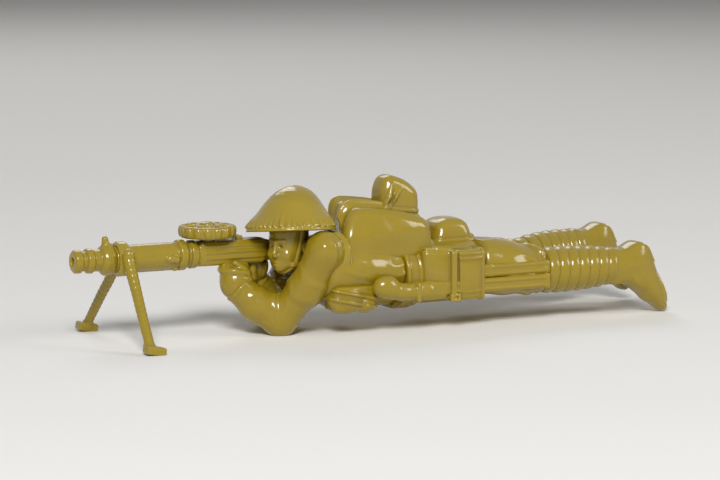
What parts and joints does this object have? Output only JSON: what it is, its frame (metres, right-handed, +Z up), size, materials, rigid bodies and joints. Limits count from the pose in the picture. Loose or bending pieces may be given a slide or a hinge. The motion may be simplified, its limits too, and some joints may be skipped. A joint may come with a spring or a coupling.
{
  "type": "toy soldier figure",
  "caption": "Prone toy soldier in a brimmed helmet and marching kit, aiming a light machine gun with a pan magazine on a folding bipod; moulded plastic.",
  "frame": {"origin": "on the surface that the figure lies on, under the middle of its length and of the bipod's spread", "axes": "+X from the muzzle to the feet, +Y to the soldier's right, +Z up"},
  "size_m": [0.0768, 0.0212, 0.0181],
  "materials": {
    "khaki_plastic": "glossy moulded polyethylene"
  },
  "bodies": {
    "figure": {"torso": "khaki_plastic", "waist_belt": "khaki_plastic", "hips": "khaki_plastic", "head": "khaki_plastic", "left_arm": "khaki_plastic", "right_arm": "khaki_plastic", "left_hand": "khaki_plastic", "right_hand": "khaki_plastic", "left_leg": "khaki_plastic", "right_leg": "khaki_plastic", "left_boot": "khaki_plastic", "right_boot": "khaki_plastic", "large_pack": "khaki_plastic", "mess_tin": "khaki_plastic", "digging_tool_case": "khaki_plastic", "haversack": "khaki_plastic", "bayonet_scabbard": "khaki_plastic", "digging_tool_helve": "khaki_plastic", "left_cartridge_pouches": "khaki_plastic", "right_cartridge_pouches": "khaki_plastic", "water_bottle": "khaki_plastic", "gun_receiver": "khaki_plastic", "barrel_jacket": "khaki_plastic", "muzzle": "khaki_plastic", "magazine_pin": "khaki_plastic"},
    "helmet": {"helmet": "khaki_plastic"},
    "magazine": {"pan_magazine": "khaki_plastic"},
    "bipod": {"bipod_collar": "khaki_plastic", "bipod_pins": "khaki_plastic"},
    "bipod_left_leg": {"bipod_left_leg": "khaki_plastic"},
    "bipod_right_leg": {"bipod_right_leg": "khaki_plastic"}
  },
  "joints": [
    {"name": "helmet_turn", "type": "hinge", "parent": "figure", "child": "helmet", "pos_m": [-0.0121, -0.0031, 0.01245], "axis": [0.0346, 0.1305, 0.9908], "continuous": true},
    {"name": "magazine_turn", "type": "hinge", "parent": "figure", "child": "magazine", "pos_m": [-0.0215, 0, 0.01178], "axis": [0, 0, 1], "continuous": true},
    {"name": "bipod_swivel", "type": "hinge", "parent": "figure", "child": "bipod", "pos_m": [-0.0325, 0, 0.0098], "axis": [1, 0, 0], "range_deg": [-15, 15]},
    {"name": "bipod_left_fold", "type": "hinge", "parent": "bipod", "child": "bipod_left_leg", "pos_m": [-0.0325, 0, 0.0098], "axis": [0, -1, 0], "range_deg": [0, 85]},
    {"name": "bipod_right_fold", "type": "hinge", "parent": "bipod", "child": "bipod_right_leg", "pos_m": [-0.0325, 0, 0.0098], "axis": [0, -1, 0], "range_deg": [0, 85]}
  ]
}
